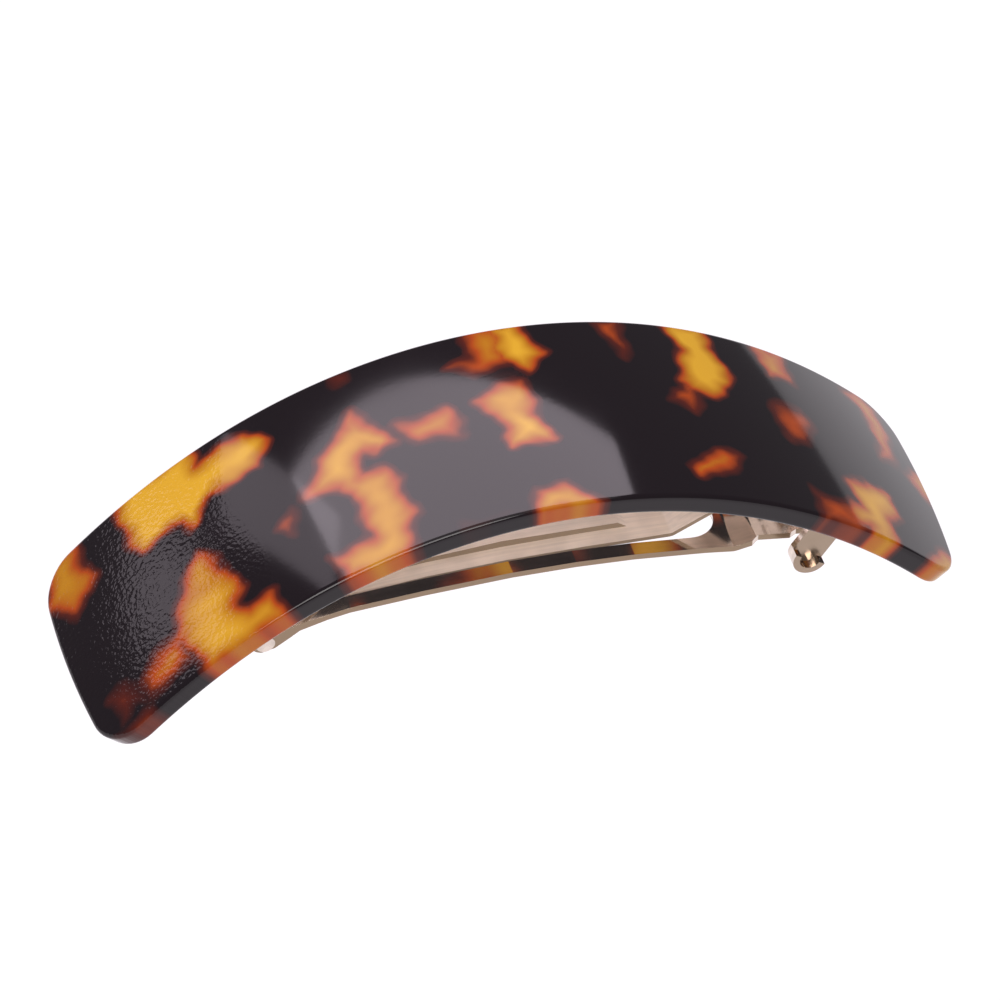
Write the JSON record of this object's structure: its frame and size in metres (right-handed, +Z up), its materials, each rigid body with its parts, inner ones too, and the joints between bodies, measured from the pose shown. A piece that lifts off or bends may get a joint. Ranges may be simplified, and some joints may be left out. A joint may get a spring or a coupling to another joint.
{
  "type": "hair barrette",
  "caption": "Arched tortoiseshell-pattern hair barrette with a sprung metal clasp that opens at one end and latches at the other.",
  "frame": {"origin": "under the middle of the plate, level with the two ends that it stands on", "axes": "+X along the plate from the hinge end to the catch end, +Y across it, +Z up through the top of the arch"},
  "size_m": [0.0886, 0.0252, 0.0247],
  "materials": {
    "tortoiseshell_acetate": "polished, near-black brown with amber blotches fringed red-orange",
    "clasp_steel": "bright warm nickel plate",
    "bow_steel": "satin warm nickel plate",
    "rivet_metal": "satin nickel plate"
  },
  "bodies": {
    "root": {"acetate_plate": "tortoiseshell_acetate", "base_plate": "clasp_steel", "fixing_rivets": "rivet_metal", "hinge_pin": "rivet_metal", "tension_bow": "bow_steel", "catch_saddle": "clasp_steel", "catch_rivet": "rivet_metal"},
    "arm": {"clasp_arm": "clasp_steel"},
    "ear_near": {"catch_ear_near": "clasp_steel"},
    "ear_far": {"catch_ear_far": "clasp_steel"}
  },
  "joints": [
    {"name": "arm_hinge", "type": "hinge", "parent": "root", "child": "arm", "pos_m": [-0.0258, 0, 0.00504], "axis": [0, 1, 0], "range_deg": [0, 85]},
    {"name": "ear_pinch_near", "type": "hinge", "parent": "root", "child": "ear_near", "pos_m": [0.03239, -0.00605, 0.0083], "axis": [0.7683, 0, -0.64], "range_deg": [0, 5], "stiffness_Nm_per_rad": 0.05},
    {"name": "ear_pinch_far", "type": "hinge", "parent": "root", "child": "ear_far", "pos_m": [0.03239, 0.00605, 0.0083], "axis": [-0.7683, 0, 0.64], "range_deg": [0, 5], "stiffness_Nm_per_rad": 0.05}
  ],
  "couplings": [
    {"joint": "ear_pinch_far", "follows": "ear_pinch_near", "ratio": 1}
  ]
}
